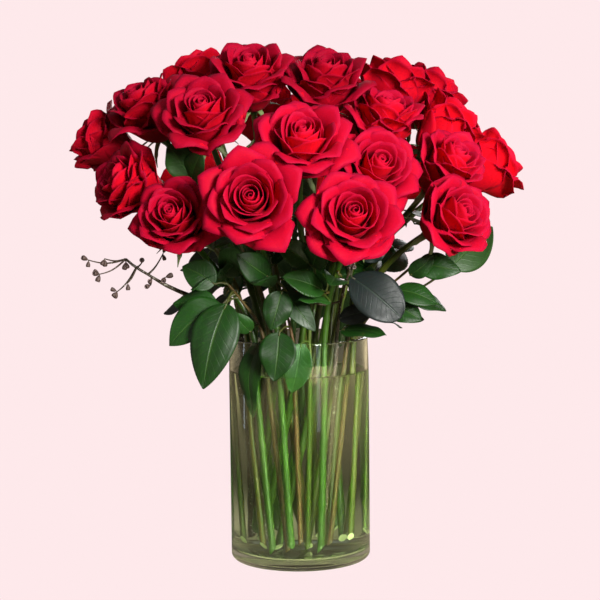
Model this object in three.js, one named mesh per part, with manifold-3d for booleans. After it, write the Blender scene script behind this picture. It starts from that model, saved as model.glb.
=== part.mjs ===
// Two dozen roses with mixed greens, standing in a glass cylinder vase of water.
// Millimetres, +Z up. The origin is the centre of the vase's underside and the
// front of the bouquet faces -Y. The cut stems spiral through the vase in three
// nested rings, so that none of them crosses another.

import * as THREE from 'three';
import { mergeVertices } from 'three/addons/utils/BufferGeometryUtils.js';
import Module from 'manifold-3d';

const wasm = await Module();
wasm.setup();

// ---------------------------------------------------------------- dimensions

const gap = 0.35; // left between pieces that touch

const vase = {
  radius: 63.5,
  height: 203,
  wall: 3,
  base: 10,
  heel: 7, // the rounding under the outside
  corner: 4, // the rounding at the bottom of the inside
  drawIn: 1, // the mouth is this much narrower than the body
  neck: 30, // and narrows over this height
  segments: 40,
};
const waterLevel = 172;

const roseStem = { radius: 3.1, sides: 6, steps: 10 };
const greenStem = { radius: 2.3, sides: 5, steps: 11 };
const bareStem = 200; // stems run straight up to this height, then curve out

// The stems stand in rings. mouth and foot: the ring's radius there. turn: how far
// a stem leans round the vase on its way down, in degrees. gather: how much
// further the stems on either side lean towards the front.
const rings = {
  outer: { mouth: 51, foot: 49, turn: 5, gather: 22 },
  greens: { mouth: 51, foot: 38, turn: 5, gather: 28 },
  middle: { mouth: 32, foot: 31, turn: -75, gather: 0 },
  inner: { mouth: 14, foot: 13.5, turn: 85, gather: 0 },
};
const front = -95; // the bearing that the stems gather towards
const footClearance = { least: 3, most: 15, step: 7 }; // of a stem's foot over the vase's floor
const bend = { leaving: 0.35, arriving: 0.4 }; // how stiffly a stem leaves the mouth and meets its bloom

const bloomDepth = 48; // from the calyx to the face of an open bloom
const cupShare = 0.44; // the cup's radius as a share of the width over the petals
const calyxRadius = 5;
const cupProfile = [[0.6, 14], [0.93, 27], [1, 38]]; // share of the cup's radius, height
const faceShare = 0.6; // the flat face as a share of the cup's radius
const bloomSegments = 12;

const leafThickness = 1.1;
const leafNeck = 1.3; // half the width of a blade where its stalk joins it
const leafOutline = { fullness: 0.75, lowPull: 0.1, highPull: 0.68 };
const stalkOverlap = { root: 2, blade: 0.06 }; // behind the stem's middle, and into the blade's length
const roseLeaf = {
  places: [0.34, 0.52, 0.7], // along the bent part of the stem
  length: 40,
  width: 25,
  stalk: 9,
  rise: 0.35, // how far the leaf leans along its stem
  turn: 137.5, // degrees from one leaf to the next round the stem
};
const petioleRadius = 1.2;
const podRadius = 3.6;

// ------------------------------------------------------------------- the roses
// face: centre of the open face. toward: the bearing that the bloom faces, in
// degrees from +X. lean: degrees from upright. across: width over the petals.
// ring and mouth: the ring of stems that it stands in, and its bearing there.

const roses = [
  { face: [-106, -105, 321], toward: -105, lean: 62, across: 70, ring: 'outer', mouth: -138 },
  { face: [-38, -143, 335], toward: -92, lean: 74, across: 79, ring: 'outer', mouth: -110 },
  { face: [47, -143, 321], toward: -85, lean: 66, across: 77, ring: 'outer', mouth: -64 },
  { face: [141, -89, 318], toward: -50, lean: 66, across: 72, ring: 'outer', mouth: -18 },
  { face: [-156, -55, 349], toward: -150, lean: 64, across: 72, ring: 'outer', mouth: -152 },
  { face: [-80, -80, 410], toward: -100, lean: 48, across: 78, ring: 'middle', mouth: -120 },
  { face: [6, -111, 387], toward: -85, lean: 46, across: 78, ring: 'middle', mouth: -85 },
  { face: [71, -92, 361], toward: -70, lean: 62, across: 74, ring: 'middle', mouth: -50 },
  { face: [140, -46, 366], toward: -45, lean: 48, across: 68, ring: 'outer', mouth: 12 },
  { face: [189, 48, 362], toward: 15, lean: 62, across: 72, ring: 'outer', mouth: 27 },
  { face: [-138, -14, 421], toward: -140, lean: 34, across: 74, ring: 'middle', mouth: -168 },
  { face: [-186, 25, 388], toward: 170, lean: 56, across: 66, ring: 'outer', mouth: 175 },
  { face: [-40, -34, 448], toward: -95, lean: 32, across: 76, ring: 'inner', mouth: -150 },
  { face: [27, -41, 442], toward: -80, lean: 28, across: 72, ring: 'inner', mouth: -70 },
  { face: [80, -40, 410], toward: -60, lean: 24, across: 70, ring: 'inner', mouth: -5 },
  { face: [93, 21, 438], toward: 40, lean: 24, across: 70, ring: 'inner', mouth: 60 },
  { face: [130, 74, 426], toward: 35, lean: 48, across: 70, ring: 'middle', mouth: 25 },
  { face: [145, 16, 399], toward: 20, lean: 45, across: 68, ring: 'middle', mouth: -5 },
  { face: [-92, 45, 444], toward: 130, lean: 30, across: 68, ring: 'middle', mouth: 160 },
  { face: [-102, 110, 352], toward: 132, lean: 60, across: 70, ring: 'outer', mouth: 142 },
  { face: [-2, 140, 350], toward: 90, lean: 62, across: 72, ring: 'outer', mouth: 96 },
  { face: [102, 112, 354], toward: 48, lean: 60, across: 70, ring: 'outer', mouth: 50 },
  { face: [-38, 90, 418], toward: 112, lean: 34, across: 72, ring: 'middle', mouth: 118 },
  { face: [52, 88, 418], toward: 60, lean: 34, across: 72, ring: 'middle', mouth: 62 },
];

// ------------------------------------------------------------------ the greens
// Each sprig's stem ends at top. A leaf hangs from the stem at the fraction at
// of its free length, on a petiole to base, and its blade runs from base to tip.

const leafGreen = '#1f4a1c';
const roseLeafGreen = '#2f6b2c';
const eucalyptusGreen = '#33473f';

const sprigs = [
  {
    name: 'salal_front_left', color: leafGreen, ring: 'greens', mouth: -124, top: [-62, -64, 258],
    leaves: [
      { at: 0.75, base: [-62, -70, 240], tip: [-82, -86, 168], width: 46, faces: [-0.2, -1, 0.2] },
      { at: 0.68, base: [-66, -60, 238], tip: [-112, -66, 203], width: 40, faces: [-0.4, -1, 0.3] },
      { at: 0.92, base: [-72, -62, 256], tip: [-100, -56, 272], width: 30, faces: [-0.2, -1, 0.3] },
      { at: 0.6, base: [-70, -54, 232], tip: [-110, -42, 238], width: 30, faces: [-0.3, -0.8, 0.6] },
      { at: 0.03, base: [-34, -46, 203], tip: [-39, -42, 136], width: 27, faces: [-0.67, -0.74, 0] },
      { at: 0.3, base: [-42, -58, 214], tip: [-56, -66, 232], width: 18, faces: [-0.3, -1, 0.2] },
    ],
  },
  {
    name: 'salal_front', color: leafGreen, ring: 'greens', mouth: -95, top: [-22, -66, 262],
    leaves: [
      { at: 0.75, base: [-14, -70, 250], tip: [-24, -76, 217], width: 28, faces: [0, -1, 0.1] },
      { at: 0.3, base: [-17, -66, 214], tip: [-21, -72, 172], width: 36, faces: [-0.1, -1, 0.2] },
      { at: 0.95, base: [-26, -68, 262], tip: [-52, -88, 284], width: 30, faces: [-0.1, -1, 0.5] },
      { at: 0.8, base: [-12, -54, 252], tip: [14, -66, 214], width: 24, faces: [0.2, -1, 0.2] },
    ],
  },
  {
    name: 'rose_leaf_spray', color: roseLeafGreen, ring: 'greens', mouth: -79, top: [14, -62, 258],
    leaves: [
      { at: 0.9, base: [22, -74, 250], tip: [-13, -90, 264], width: 27, faces: [0.1, -0.9, 0.6] },
      { at: 0.7, base: [28, -72, 240], tip: [0, -82, 243], width: 20, faces: [0, -0.3, 1] },
      { at: 0.12, base: [2, -56.5, 203], tip: [-6, -57, 160], width: 27, faces: [-0.05, -1, 0] },
      { at: 1, base: [10, -66, 270], tip: [-20, -76, 292], width: 26, faces: [0, -1, 0.4] },
      { at: 1, base: [14, -64, 270], tip: [22, -84, 294], width: 24, faces: [0, -1, 0.6] },
    ],
  },
  {
    name: 'eucalyptus_front', color: eucalyptusGreen, ring: 'greens', mouth: -49, top: [52, -56, 278],
    leaves: [
      { at: 0.75, base: [46, -74, 262], tip: [88, -90, 228], width: 44, faces: [0, -1, 0.3] },
      { at: 0.4, base: [36, -54, 224], tip: [64, -64, 232], width: 20, faces: [0, -1, 0.4] },
      { at: 1, base: [56, -60, 276], tip: [76, -64, 292], width: 22, faces: [0, -1, 0.2] },
    ],
    pods: [[16, -58, 232], [20, -56, 241], [54, -48, 250], [48, -68, 272], [10, -60, 240]],
  },
  {
    name: 'salal_front_right', color: leafGreen, ring: 'greens', mouth: -34, top: [102, -46, 270],
    leaves: [
      { at: 0.15, base: [38, -52, 213], tip: [76, -74, 211], width: 24, faces: [0.1, -0.6, 1] },
      { at: 0.7, base: [86, -50, 248], tip: [122, -58, 236], width: 26, faces: [0.1, -0.8, 0.7] },
      { at: 0.6, base: [82, -42, 236], tip: [108, -52, 221], width: 28, faces: [0, -0.9, 0.5] },
      { at: 1, base: [106, -46, 272], tip: [142, -56, 264], width: 27, faces: [0, -1, 0.4] },
      { at: 0.9, base: [98, -58, 262], tip: [118, -66, 280], width: 18, faces: [0.1, -1, 0.2] },
      { at: 0.4, base: [62, -42, 224], tip: [92, -26, 212], width: 28, faces: [0.4, 0, 1] },
    ],
  },
  {
    name: 'salal_right', color: leafGreen, ring: 'greens', mouth: -3, top: [132, -16, 262],
    leaves: [
      { at: 0.97, base: [136, -24, 266], tip: [172, -36, 302], width: 42, faces: [0.3, -1, 0.4] },
      { at: 0.85, base: [122, 0, 258], tip: [152, 24, 262], width: 32, faces: [0.3, 0.2, 1] },
      { at: 0.6, base: [100, -14, 236], tip: [132, -22, 226], width: 30, faces: [0.5, -0.5, 0.7] },
      { at: 0.5, base: [92, 8, 230], tip: [112, 34, 210], width: 34, faces: [1, 0.5, 0.5] },
    ],
  },
  {
    name: 'salal_back_right', color: leafGreen, ring: 'greens', mouth: 73, top: [48, 88, 274],
    leaves: [
      { at: 0.6, base: [34, 80, 240], tip: [44, 102, 180], width: 44, faces: [0.2, 1, 0.2] },
      { at: 0.95, base: [56, 88, 270], tip: [98, 98, 256], width: 38, faces: [0.3, 1, 0.6] },
      { at: 0.8, base: [58, 70, 250], tip: [96, 66, 226], width: 36, faces: [0.8, 0.7, 0.5] },
      { at: 1, base: [40, 94, 278], tip: [2, 106, 280], width: 36, faces: [-0.1, 1, 0.5] },
      { at: 0.5, base: [18, 74, 232], tip: [-2, 94, 196], width: 34, faces: [0, 1, 0.3] },
      { at: 0.45, base: [4, 66, 230], tip: [-12, 70, 288], width: 44, faces: [0, -1, 0.2] },
      { at: 0.75, base: [36, 74, 246], tip: [20, 66, 292], width: 40, faces: [0, -1, 0.1] },
    ],
  },
  {
    name: 'eucalyptus_back', color: eucalyptusGreen, ring: 'greens', mouth: 119, top: [-58, 84, 274],
    leaves: [
      { at: 0.55, base: [-40, 74, 234], tip: [-46, 94, 188], width: 38, faces: [-0.2, 1, 0.2] },
      { at: 0.95, base: [-64, 82, 270], tip: [-104, 88, 256], width: 36, faces: [-0.4, 1, 0.5] },
      { at: 0.8, base: [-66, 62, 250], tip: [-102, 50, 230], width: 36, faces: [-0.9, 0.5, 0.6] },
      { at: 0.6, base: [-62, 52, 236], tip: [-88, 36, 204], width: 36, faces: [-1, 0.5, 0.3] },
      { at: 0.7, base: [-46, 70, 242], tip: [-60, 62, 286], width: 40, faces: [0, -1, 0.2] },
      { at: 0.6, base: [-36, 66, 236], tip: [-34, 54, 284], width: 36, faces: [0.1, -1, 0.1] },
    ],
    pods: [[-84, 76, 284], [-92, 68, 278], [-80, 86, 290], [-34, 94, 262]],
  },
  {
    name: 'seeded_eucalyptus_left', color: eucalyptusGreen, ring: 'greens', mouth: -168, top: [-138, -48, 270],
    stemRadius: 4.2,
    leaves: [
      { at: 0.45, base: [-92, -22, 236], tip: [-120, 4, 226], width: 28, faces: [-0.7, -0.2, 0.8] },
      { at: 0.3, base: [-76, -2, 222], tip: [-98, 18, 206], width: 30, faces: [-0.9, 0.2, 0.5] },
    ],
    pods: [
      [-118, -46, 282], [-134, -58, 278], [-150, -52, 276], [-168, -55, 279], [-182, -56, 278],
      [-148, -60, 258], [-158, -52, 250], [-128, -62, 256], [-116, -54, 262], [-172, -60, 266],
    ],
  },
  {
    name: 'salal_crown_left', color: leafGreen, ring: 'middle', mouth: -144, top: [-94, -42, 344],
    leaves: [
      { at: 1, base: [-94, -46, 350], tip: [-112, -66, 376], width: 30, faces: [-0.2, -1, 0.5] },
      { at: 0.46, base: [-50, -36, 262], tip: [-66, -58, 286], width: 28, faces: [-0.1, -1, 0.5] },
      { at: 0.97, base: [-90, -46, 346], tip: [-78, -64, 368], width: 26, faces: [0, -1, 0.5] },
    ],
  },
];

// ------------------------------------------------------------------- materials

function material(color, roughness, extra = {}) {
  return new THREE.MeshStandardMaterial({ color, roughness, metalness: 0, ...extra });
}

const glass = material('#dfe9e6', 0.05, { transparent: true, opacity: 0.35 });
const water = material('#cfdccb', 0.02, { transparent: true, opacity: 0.35 });
const petals = material('#c3122b', 0.6);
const stemGreen = material('#5d7a22', 0.5);

// ---------------------------------------------------------------------- solids

function toSolid(geometry) {
  const bare = geometry.clone();
  bare.deleteAttribute('normal');
  bare.deleteAttribute('uv');
  const merged = mergeVertices(bare, 1e-4);
  return new wasm.Manifold(new wasm.Mesh({
    numProp: 3,
    vertProperties: new Float32Array(merged.attributes.position.array),
    triVerts: new Uint32Array(merged.index.array),
  }));
}

function toGeometry(solid) {
  const mesh = solid.getMesh();
  const geometry = new THREE.BufferGeometry();
  geometry.setAttribute('position', new THREE.BufferAttribute(mesh.vertProperties, 3));
  geometry.setIndex(new THREE.BufferAttribute(mesh.triVerts, 1));
  geometry.computeVertexNormals();
  return geometry;
}

function join(solids) {
  return solids.reduce((whole, next) => whole.add(next));
}

function largestBody(solid) {
  return solid.decompose().reduce((best, next) => (next.volume() > best.volume() ? next : best));
}

// ----------------------------------------------------------------- basic forms

const upright = new THREE.Vector3(0, 0, 1);

function point(xyz) {
  return new THREE.Vector3(...xyz);
}

function onRing(radius, bearing, height) {
  const angle = THREE.MathUtils.degToRad(bearing);
  return new THREE.Vector3(radius * Math.cos(angle), radius * Math.sin(angle), height);
}

function directionOf(bearing, lean) {
  const tilt = THREE.MathUtils.degToRad(lean);
  return onRing(Math.sin(tilt), bearing, Math.cos(tilt));
}

function polygon(radius, sides) {
  const corners = [];
  for (let i = 0; i < sides; i += 1) {
    const angle = (2 * Math.PI * i) / sides;
    corners.push(new THREE.Vector2(radius * Math.cos(angle), radius * Math.sin(angle)));
  }
  return new THREE.Shape(corners);
}

function tube(path, radius, sides, steps) {
  return new THREE.ExtrudeGeometry(polygon(radius, sides), { extrudePath: path, steps });
}

function turned(profile, segments) {
  const points = profile.map(([radius, height]) => new THREE.Vector2(radius, height));
  return new THREE.LatheGeometry(points, segments).rotateX(Math.PI / 2);
}

// ------------------------------------------------------------ stems in the vase

// A stem runs straight from its foot to the mouth of the vase, then bends into
// the direction in which its bloom or sprig ends.
function stemPath(ring, mouthBearing, footHeight, end, endDirection) {
  const stand = rings[ring];
  const aside = Math.sin(THREE.MathUtils.degToRad(front - mouthBearing));
  const footBearing = mouthBearing + stand.turn + stand.gather * aside;
  const foot = onRing(stand.foot, footBearing, footHeight);
  const mouth = onRing(stand.mouth, mouthBearing, bareStem);
  const rise = mouth.clone().sub(foot).normalize();
  const reach = end.distanceTo(mouth);
  const path = new THREE.CurvePath();
  path.add(new THREE.LineCurve3(foot, mouth));
  path.add(new THREE.CubicBezierCurve3(
    mouth,
    mouth.clone().addScaledVector(rise, bend.leaving * reach),
    end.clone().addScaledVector(endDirection, -bend.arriving * reach),
    end,
  ));
  return path;
}

function footHeight(index) {
  const { least, most, step } = footClearance;
  return vase.base + least + ((index * step) % (most - least));
}

// The part of a stem that stands in the vase.
function straightRunSolid(plant, index, radius, sides) {
  const stem = stemPath(plant.ring, plant.mouth, footHeight(index), new THREE.Vector3(), upright);
  return toSolid(tube(stem.curves[0], radius, sides, 1));
}

function roseStemPath(rose, index) {
  const axis = directionOf(rose.toward, rose.lean);
  const calyx = point(rose.face).addScaledVector(axis, -bloomDepth - gap);
  return stemPath(rose.ring, rose.mouth, footHeight(index), calyx, axis);
}

function roseStemSolid(rose, index, extra = 0) {
  const path = roseStemPath(rose, index);
  return toSolid(tube(path, roseStem.radius + extra, roseStem.sides, roseStem.steps));
}

// --------------------------------------------------------------------- a bloom

// The cup that the petals fill, standing on its calyx at the origin.
function bloomGeometry(across, extra = 0) {
  const rim = cupShare * across + extra;
  const top = bloomDepth + extra;
  return turned([
    [0, -extra],
    [calyxRadius + extra, -extra],
    ...cupProfile.map(([share, height]) => [share * rim, height]),
    [faceShare * rim, top],
    [0, top],
  ], bloomSegments);
}

function standBloom(object, rose) {
  const axis = directionOf(rose.toward, rose.lean);
  object.position.copy(point(rose.face).addScaledVector(axis, -bloomDepth));
  object.quaternion.setFromUnitVectors(upright, axis);
  object.updateMatrix();
}

function bloomSolid(rose, extra) {
  const geometry = bloomGeometry(rose.across, extra);
  const holder = new THREE.Object3D();
  standBloom(holder, rose);
  return toSolid(geometry.applyMatrix4(holder.matrix));
}

// --------------------------------------------------------------------- a sprig

// A flat blade from base to tip, with its broad side turned to faces.
function leafSolid({ base, tip, width, faces }, extra) {
  const start = point(base);
  const along = point(tip).sub(start);
  const length = along.length();
  const up = along.normalize();
  const side = new THREE.Vector3().crossVectors(up, point(faces)).normalize();
  const normal = new THREE.Vector3().crossVectors(side, up);
  const bulge = (width / 2 + extra) / leafOutline.fullness;
  const low = leafOutline.lowPull * length;
  const high = leafOutline.highPull * length;
  const neck = leafNeck + extra;
  const outline = new THREE.Shape();
  outline.moveTo(-neck, -extra);
  outline.lineTo(neck, -extra);
  outline.bezierCurveTo(bulge, low, bulge, high, 0, length + extra);
  outline.bezierCurveTo(-bulge, high, -bulge, low, -neck, -extra);
  const thickness = leafThickness + 2 * extra;
  const blade = new THREE.ExtrudeGeometry(outline, {
    depth: thickness,
    bevelEnabled: false,
    curveSegments: 3,
  });
  blade.translate(0, 0, -thickness / 2);
  blade.applyMatrix4(new THREE.Matrix4().makeBasis(side, up, normal).setPosition(start));
  return toSolid(blade);
}

// A twig starts just behind the stem's centreline, so that it joins the stem.
function twigSolid(from, to, radius) {
  const root = from.clone().addScaledVector(to.clone().sub(from).normalize(), -stalkOverlap.root);
  return toSolid(tube(new THREE.LineCurve3(root, to), radius, 3, 1));
}

// A blade with the stalk that joins it to a stem.
function stalkedLeafSolid(root, leaf, extra) {
  const neck = point(leaf.base).lerp(point(leaf.tip), stalkOverlap.blade);
  return twigSolid(root, neck, petioleRadius + extra).add(leafSolid(leaf, extra));
}

function podSolid(centre, extra) {
  const pod = new THREE.OctahedronGeometry(podRadius + extra);
  return toSolid(pod.translate(...centre));
}

function nearestOnPath(path, target) {
  const candidates = path.getSpacedPoints(60);
  return candidates.reduce((best, next) => (
    next.distanceTo(target) < best.distanceTo(target) ? next : best));
}

function stemRadius(sprig) {
  return sprig.stemRadius ?? greenStem.radius;
}

function insideVase([x, y]) {
  return Math.hypot(x, y) < vase.radius;
}

function sprigSolid(sprig, index, extra = 0) {
  const end = point(sprig.top);
  const outward = end.clone().setZ(0).normalize().add(upright).normalize();
  const path = stemPath(sprig.ring, sprig.mouth, footHeight(index), end, outward);
  const free = path.curves[1];
  const stem = tube(path, stemRadius(sprig) + extra, greenStem.sides, greenStem.steps);
  const pieces = [toSolid(stem)];
  for (const leaf of sprig.leaves) {
    pieces.push(stalkedLeafSolid(free.getPoint(leaf.at), leaf, extra));
  }
  for (const centre of sprig.pods ?? []) {
    const root = nearestOnPath(free, point(centre));
    pieces.push(twigSolid(root, point(centre), petioleRadius + extra));
    pieces.push(podSolid(centre, extra));
  }
  return join(pieces);
}

// ------------------------------------------------------------------ rose leaves

// The leaves of one rose, spaced up its stem and turned on round it.
function roseLeavesSolid(rose, index, extra = 0) {
  const free = roseStemPath(rose, index).curves[1];
  return join(roseLeaf.places.map((at, order) => {
    const root = free.getPoint(at);
    const rise = free.getTangent(at);
    const turn = THREE.MathUtils.degToRad(roseLeaf.turn * (index + order));
    const away = new THREE.Vector3().crossVectors(rise, upright).normalize();
    away.applyAxisAngle(rise, turn).addScaledVector(rise, roseLeaf.rise).normalize();
    const base = root.clone().addScaledVector(away, roseLeaf.stalk);
    const tip = base.clone().addScaledVector(away, roseLeaf.length);
    const faces = root.clone().setZ(0).normalize().add(upright);
    const leaf = {
      base: base.toArray(),
      tip: tip.toArray(),
      width: roseLeaf.width,
      faces: faces.toArray(),
    };
    return stalkedLeafSolid(root, leaf, extra);
  }));
}

// --------------------------------------------------------------- vase and water

function vaseGeometry() {
  const { radius, height, wall, base, heel, corner, drawIn, neck, segments } = vase;
  const inner = radius - wall;
  const bevel = 0.3 * heel;
  return turned([
    [0, 0],
    [radius - heel, 0],
    [radius - bevel, bevel],
    [radius, heel],
    [radius, height - neck],
    [radius - drawIn, height],
    [inner - drawIn, height],
    [inner, height - neck],
    [inner, base + corner],
    [inner - corner, base],
    [0, base],
  ], segments);
}

// The room that the vase takes up, its inside included.
function vaseRoom() {
  const radius = vase.radius + gap;
  const height = vase.height + gap;
  return toSolid(turned([[0, 0], [radius, 0], [radius, height], [0, height]], vase.segments));
}

function waterSolid(obstacles) {
  const inner = vase.radius - vase.wall - gap;
  const floor = vase.base + gap;
  const body = toSolid(turned([
    [0, floor],
    [inner - vase.corner, floor],
    [inner, floor + vase.corner],
    [inner, waterLevel],
    [0, waterLevel],
  ], vase.segments));
  return largestBody(body.subtract(join(obstacles)));
}

// -------------------------------------------------------------------- assembly

const bouquet = new THREE.Group();

function addPiece(name, geometry, look) {
  const mesh = new THREE.Mesh(geometry, look);
  mesh.name = name;
  bouquet.add(mesh);
  return mesh;
}

function numbered(name, index) {
  return `${name}_${String(index + 1).padStart(2, '0')}`;
}

addPiece('vase', vaseGeometry(), glass);

const grownStems = []; // each rose's stem, grown by the gap
const grownBlooms = []; // each rose's bloom, grown by the gap
const grownGreens = []; // every sprig and rose leaf so far, grown by the gap
const sunk = []; // what stands in the water, grown by the gap

roses.forEach((rose, index) => {
  const bloom = addPiece(numbered('rose_bloom', index), bloomGeometry(rose.across), petals);
  standBloom(bloom, rose);
  grownStems.push(roseStemSolid(rose, index, gap));
  grownBlooms.push(bloomSolid(rose, gap));
  sunk.push(straightRunSolid(rose, index, roseStem.radius + gap, roseStem.sides));
});

sprigs.forEach((sprig, number) => {
  const index = roses.length + number;
  const obstacles = join([...grownStems, ...grownBlooms, ...grownGreens]);
  const room = sprigSolid(sprig, index).subtract(obstacles);
  addPiece(sprig.name, toGeometry(largestBody(room)), material(sprig.color, 0.45));
  grownGreens.push(sprigSolid(sprig, index, gap));
  sunk.push(straightRunSolid(sprig, index, stemRadius(sprig) + gap, greenStem.sides));
  const drowned = sprig.leaves.filter((leaf) => leaf.tip[2] < waterLevel && insideVase(leaf.tip));
  sunk.push(...drowned.map((leaf) => leafSolid(leaf, gap)));
});

// The roses' own leaves come last, in the room that is left.
roses.forEach((rose, index) => {
  const otherStems = grownStems.filter((stem, other) => other !== index);
  const obstacles = join([...otherStems, ...grownBlooms, ...grownGreens, vaseRoom()]);
  const leaves = roseLeavesSolid(rose, index).subtract(obstacles);
  const whole = largestBody(roseStemSolid(rose, index).add(leaves));
  addPiece(numbered('rose_stem', index), toGeometry(whole), stemGreen);
  grownGreens.push(roseLeavesSolid(rose, index, gap));
});

addPiece('water', toGeometry(waterSolid(sunk)), water);

export default bouquet;
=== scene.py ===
"""Two dozen red roses with greens in a glass cylinder vase of water.

Metres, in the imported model's frame: +Z up, the front of the bouquet faces -Y.
Every rose, stem, leaf and pod takes its place from the CAD node it stands for.
"""

import math

import bpy
import numpy as np
from mathutils import Matrix, Vector
from numpy.linalg import norm


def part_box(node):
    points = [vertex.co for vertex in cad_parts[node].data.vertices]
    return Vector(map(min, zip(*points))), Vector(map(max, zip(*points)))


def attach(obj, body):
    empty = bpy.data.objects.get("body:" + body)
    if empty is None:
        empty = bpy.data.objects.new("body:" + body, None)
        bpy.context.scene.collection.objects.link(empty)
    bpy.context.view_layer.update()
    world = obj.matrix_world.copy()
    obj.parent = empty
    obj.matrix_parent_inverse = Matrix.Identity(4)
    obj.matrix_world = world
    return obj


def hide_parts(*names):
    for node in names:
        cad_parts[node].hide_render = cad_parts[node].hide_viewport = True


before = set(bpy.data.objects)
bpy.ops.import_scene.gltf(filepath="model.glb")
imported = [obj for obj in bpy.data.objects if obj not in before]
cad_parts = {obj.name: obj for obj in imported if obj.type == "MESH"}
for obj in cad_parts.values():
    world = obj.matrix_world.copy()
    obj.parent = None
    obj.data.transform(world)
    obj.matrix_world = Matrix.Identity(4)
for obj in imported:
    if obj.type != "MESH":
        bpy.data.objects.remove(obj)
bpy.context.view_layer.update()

random = np.random.default_rng(24)
uniform = random.uniform

MM = 0.001
BACKGROUND = (0.991, 0.815, 0.831)


def add_object(name, data):
    made = bpy.data.objects.new(name, data)
    bpy.context.scene.collection.objects.link(made)
    return made


# --- the camera

def add_camera():
    """The photo's view, from in front and level with the roses, a little downwards."""
    eye = (0.0017, -1.5, 0.3787)
    pitch_down = 0.095
    roll = -0.011
    data = bpy.data.cameras.new("camera")
    data.lens = 99.7
    data.sensor_width = 36.0
    data.clip_start = 0.05
    data.clip_end = 60.0
    camera = add_object("camera", data)
    turn = Matrix.Rotation(math.pi / 2 - pitch_down, 4, "X") @ Matrix.Rotation(roll, 4, "Z")
    camera.matrix_world = Matrix.Translation(eye) @ turn
    bpy.context.scene.camera = camera


# --- node building

def link(tree, out, into):
    tree.links.new(out, into)


def node(tree, kind, **settings):
    made = tree.nodes.new("ShaderNode" + kind)
    for name, value in settings.items():
        setattr(made, name, value)
    return made


def feed(tree, socket, value):
    if isinstance(value, bpy.types.NodeSocket):
        link(tree, value, socket)
    elif isinstance(value, tuple) and len(value) == 3 and socket.type == "RGBA":
        socket.default_value = (*value, 1.0)
    else:
        socket.default_value = value


def set_inputs(made, values):
    for name, value in values.items():
        made.inputs[name].default_value = value


def attribute(tree, name):
    return node(tree, "Attribute", attribute_name=name).outputs["Fac"]


def calc(tree, operation, a, b=0.0):
    made = node(tree, "Math", operation=operation)
    feed(tree, made.inputs[0], a)
    feed(tree, made.inputs[1], b)
    return made.outputs[0]


def times(tree, a, b):
    return calc(tree, "MULTIPLY", a, b)


def remap(tree, value, low, high, to_low=0.0, to_high=1.0):
    made = node(tree, "MapRange", interpolation_type="SMOOTHSTEP")
    for socket, given in zip(made.inputs, (value, low, high, to_low, to_high)):
        feed(tree, socket, given)
    return made.outputs[0]


def blend_colors(tree, factor, a, b):
    made = node(tree, "Mix", data_type="RGBA")
    feed(tree, made.inputs["Factor"], factor)
    feed(tree, made.inputs[6], a)
    feed(tree, made.inputs[7], b)
    return made.outputs[2]


def flat_coordinates(tree, across, along, offset):
    made = node(tree, "CombineXYZ")
    feed(tree, made.inputs[0], across)
    feed(tree, made.inputs[1], along)
    feed(tree, made.inputs[2], offset)
    return made.outputs[0]


def object_position(tree):
    return node(tree, "TexCoord").outputs["Object"]


def noise(tree, vector, scale, detail, roughness=0.5):
    made = node(tree, "TexNoise")
    link(tree, vector, made.inputs["Vector"])
    set_inputs(made, {"Scale": scale, "Detail": detail, "Roughness": roughness})
    return made.outputs["Fac"]


def bump(tree, height, distance, strength):
    made = node(tree, "Bump")
    set_inputs(made, {"Strength": strength, "Distance": distance})
    link(tree, height, made.inputs["Height"])
    return made.outputs["Normal"]


def choose_by_ray(tree, ray, usual, special):
    """The usual shader, or the special one for light paths of one kind."""
    mix = node(tree, "MixShader")
    link(tree, node(tree, "LightPath").outputs[ray], mix.inputs[0])
    link(tree, usual, mix.inputs[1])
    link(tree, special, mix.inputs[2])
    return mix.outputs[0]


def new_material(name):
    material = bpy.data.materials.new(name)
    material.use_nodes = True
    tree = material.node_tree
    return material, tree, tree.nodes["Principled BSDF"]


# --- materials

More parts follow.
